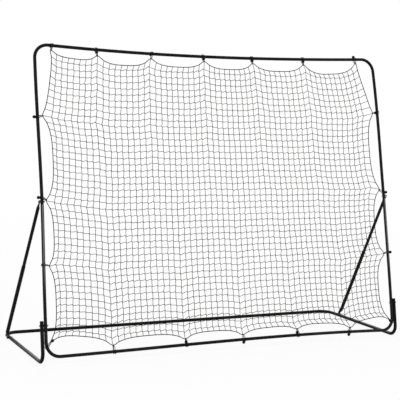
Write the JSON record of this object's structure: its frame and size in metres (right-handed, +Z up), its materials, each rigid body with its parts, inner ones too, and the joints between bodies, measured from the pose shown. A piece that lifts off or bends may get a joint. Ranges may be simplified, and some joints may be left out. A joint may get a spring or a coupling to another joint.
{
  "type": "soccer rebound net",
  "caption": "Free-standing soccer rebounder: a tilting black tube frame with a scalloped net tied in by elastic ball ties, on a U-shaped base with telescopic braces.",
  "frame": {"origin": "on the floor, under the middle of the object's outline", "axes": "+Z up, +Y from the player's side to the rear of the base, +X to the right as the player sees it"},
  "size_m": [2.5274, 0.9106, 1.887],
  "materials": {
    "frame_tube": "satin black powder coat",
    "base_tube": "semi-gloss black powder coat",
    "black_plastic": "moulded",
    "zinc_bolt": "zinc plated",
    "black_bolt": "black oxide",
    "net_cord": "knotted black twine"
  },
  "bodies": {
    "base": {"base_side_left": "base_tube", "base_side_right": "base_tube", "base_rear_bar": "base_tube", "end_cap_left": "black_plastic", "end_cap_right": "black_plastic", "pivot_bolt_left": "zinc_bolt", "pivot_bolt_right": "zinc_bolt", "pivot_nut_left": "zinc_bolt", "pivot_nut_right": "zinc_bolt", "pivot_spacer_left": "black_plastic", "pivot_spacer_right": "black_plastic", "foot_bolt_left": "black_bolt", "foot_bolt_right": "black_bolt", "foot_nut_left": "zinc_bolt", "foot_nut_right": "zinc_bolt"},
    "frame": {"frame_upper_left": "frame_tube", "frame_upper_right": "frame_tube", "frame_lower_left": "frame_tube", "frame_lower_right": "frame_tube", "frame_top_bar": "frame_tube", "frame_bottom_bar": "frame_tube", "net": "net_cord", "top_bolt_left": "zinc_bolt", "top_bolt_right": "zinc_bolt", "top_nut_left": "zinc_bolt", "top_nut_right": "zinc_bolt", "tie_top_1": "black_plastic", "tie_top_2": "black_plastic", "tie_top_3": "black_plastic", "tie_top_4": "black_plastic", "tie_top_5": "black_plastic", "tie_top_6": "black_plastic", "tie_top_7": "black_plastic", "tie_bottom_1": "black_plastic", "tie_bottom_2": "black_plastic", "tie_bottom_3": "black_plastic", "tie_bottom_4": "black_plastic", "tie_bottom_5": "black_plastic", "tie_left_1": "black_plastic", "tie_left_2": "black_plastic", "tie_left_3": "black_plastic", "tie_left_4": "black_plastic", "tie_right_1": "black_plastic", "tie_right_2": "black_plastic", "tie_right_3": "black_plastic", "tie_right_4": "black_plastic"},
    "brace_lower_left": {"brace_outer_left": "base_tube"},
    "brace_lower_right": {"brace_outer_right": "base_tube"},
    "brace_upper_left": {"brace_inner_left": "frame_tube"},
    "brace_upper_right": {"brace_inner_right": "frame_tube"}
  },
  "joints": [
    {"name": "frame_tilt", "type": "hinge", "parent": "base", "child": "frame", "pos_m": [0, -0.40857, 0.22869], "axis": [-1, 0, 0], "range_deg": [-6, 6]},
    {"name": "brace_swing_left", "type": "hinge", "parent": "base", "child": "brace_lower_left", "pos_m": [-1.243, 0.29931, 0.011], "axis": [-1, 0, 0], "range_deg": [-3.2, 3.2]},
    {"name": "brace_slide_left", "type": "slide", "parent": "brace_lower_left", "child": "brace_upper_left", "axis": [0.0364, -0.5302, 0.8471], "range_m": [-0.052, 0.052]},
    {"name": "brace_swing_right", "type": "hinge", "parent": "base", "child": "brace_lower_right", "pos_m": [1.243, 0.29931, 0.011], "axis": [-1, 0, 0], "range_deg": [-3.2, 3.2]},
    {"name": "brace_slide_right", "type": "slide", "parent": "brace_lower_right", "child": "brace_upper_right", "axis": [-0.0364, -0.5302, 0.8471], "range_m": [-0.052, 0.052]}
  ],
  "couplings": [
    {"joint": "brace_swing_left", "follows": "frame_tilt", "ratio": 0.48929},
    {"joint": "brace_slide_left", "follows": "frame_tilt", "m_per_rad": -0.48489},
    {"joint": "brace_swing_right", "follows": "frame_tilt", "ratio": 0.48929},
    {"joint": "brace_slide_right", "follows": "frame_tilt", "m_per_rad": -0.48489}
  ]
}
